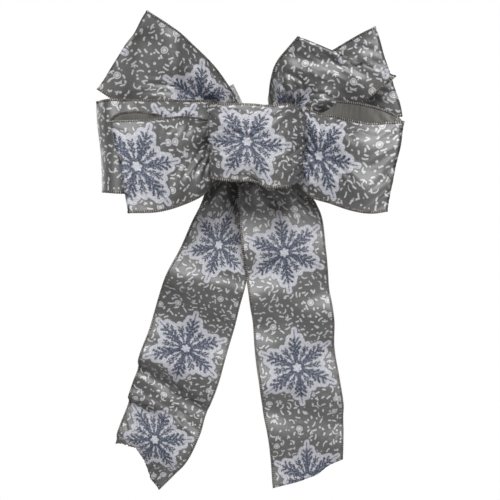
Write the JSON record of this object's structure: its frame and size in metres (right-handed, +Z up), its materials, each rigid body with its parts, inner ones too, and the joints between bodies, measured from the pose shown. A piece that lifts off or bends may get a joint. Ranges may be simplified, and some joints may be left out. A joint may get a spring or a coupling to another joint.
{
  "type": "gift bow",
  "caption": "Ready-made bow of wired ribbon with flat loops fanned in pairs round a centre loop, hanging tails and a twist tie behind to fasten it.",
  "frame": {"origin": "middle of the back face of the twist tie's band, where the bow lies against the gift and is tied on", "axes": "+Z up along the tails' hang, front of the bow towards -Y, +X to the viewer's right"},
  "size_m": [0.2274, 0.0831, 0.3672],
  "materials": {
    "ribbon": "satin weave, printed on one side with navy glitter snowflakes",
    "selvedge_thread": "beaded overlocked metallic thread",
    "edge_wire": "thin soft annealed wire",
    "tie_plastic": "silvery clear plastic strip",
    "tie_core_wire": "thin soft annealed wire"
  },
  "bodies": {
    "knot": {"centre_loop_ribbon": "ribbon", "centre_loop_upper_stitching": "selvedge_thread", "centre_loop_upper_wire": "edge_wire", "centre_loop_lower_stitching": "selvedge_thread", "centre_loop_lower_wire": "edge_wire", "gathered_waist": "ribbon", "tie_band": "tie_plastic", "tie_band_core_wire": "tie_core_wire", "tie_twist": "tie_plastic"},
    "front_left_loop": {"front_left_ribbon": "ribbon", "front_left_upper_stitching": "selvedge_thread", "front_left_upper_wire": "edge_wire", "front_left_lower_stitching": "selvedge_thread", "front_left_lower_wire": "edge_wire"},
    "front_right_loop": {"front_right_ribbon": "ribbon", "front_right_upper_stitching": "selvedge_thread", "front_right_upper_wire": "edge_wire", "front_right_lower_stitching": "selvedge_thread", "front_right_lower_wire": "edge_wire"},
    "middle_left_loop": {"middle_left_ribbon": "ribbon", "middle_left_upper_stitching": "selvedge_thread", "middle_left_upper_wire": "edge_wire", "middle_left_lower_stitching": "selvedge_thread", "middle_left_lower_wire": "edge_wire"},
    "middle_right_loop": {"middle_right_ribbon": "ribbon", "middle_right_upper_stitching": "selvedge_thread", "middle_right_upper_wire": "edge_wire", "middle_right_lower_stitching": "selvedge_thread", "middle_right_lower_wire": "edge_wire"},
    "rear_left_loop": {"rear_left_ribbon": "ribbon", "rear_left_upper_stitching": "selvedge_thread", "rear_left_upper_wire": "edge_wire", "rear_left_lower_stitching": "selvedge_thread", "rear_left_lower_wire": "edge_wire"},
    "rear_right_loop": {"rear_right_ribbon": "ribbon", "rear_right_upper_stitching": "selvedge_thread", "rear_right_upper_wire": "edge_wire", "rear_right_lower_stitching": "selvedge_thread", "rear_right_lower_wire": "edge_wire"},
    "left_tail": {"left_tail_ribbon": "ribbon", "left_tail_left_stitching": "selvedge_thread", "left_tail_left_wire": "edge_wire", "left_tail_right_stitching": "selvedge_thread", "left_tail_right_wire": "edge_wire"},
    "right_tail": {"right_tail_ribbon": "ribbon", "right_tail_left_stitching": "selvedge_thread", "right_tail_left_wire": "edge_wire", "right_tail_right_stitching": "selvedge_thread", "right_tail_right_wire": "edge_wire"},
    "tie_ends": {"tie_end_long_strip": "tie_plastic", "tie_end_long_core_wire": "tie_core_wire", "tie_end_short_strip": "tie_plastic", "tie_end_short_core_wire": "tie_core_wire"}
  },
  "joints": [
    {"name": "front_left_swing", "type": "hinge", "parent": "knot", "child": "front_left_loop", "pos_m": [0, -0.036, 0], "axis": [0, 1, 0], "range_deg": [-8, 12]},
    {"name": "front_right_swing", "type": "hinge", "parent": "knot", "child": "front_right_loop", "pos_m": [0, -0.036, 0], "axis": [0, 1, 0], "range_deg": [-6, 6]},
    {"name": "middle_left_swing", "type": "hinge", "parent": "knot", "child": "middle_left_loop", "pos_m": [0, -0.026, 0], "axis": [0, 1, 0], "range_deg": [-12, 6]},
    {"name": "middle_right_swing", "type": "hinge", "parent": "knot", "child": "middle_right_loop", "pos_m": [0, -0.023, 0], "axis": [0, 1, 0], "range_deg": [-10, 5]},
    {"name": "rear_left_swing", "type": "hinge", "parent": "knot", "child": "rear_left_loop", "pos_m": [0, -0.014, 0], "axis": [0, 1, 0], "range_deg": [-4, 10]},
    {"name": "rear_right_swing", "type": "hinge", "parent": "knot", "child": "rear_right_loop", "pos_m": [0, -0.012, 0], "axis": [0, 1, 0], "range_deg": [-10, 8]},
    {"name": "left_tail_swing", "type": "hinge", "parent": "knot", "child": "left_tail", "pos_m": [0, -0.004, 0], "axis": [0, 1, 0], "range_deg": [-12, 12]},
    {"name": "right_tail_swing", "type": "hinge", "parent": "knot", "child": "right_tail", "pos_m": [0, -0.01, 0], "axis": [0, 1, 0], "range_deg": [-12, 12]},
    {"name": "tie_ends_bend", "type": "hinge", "parent": "knot", "child": "tie_ends", "pos_m": [0, -0.001, 0.015], "axis": [0.8572, 0, 0.515], "range_deg": [-80, 0]}
  ]
}
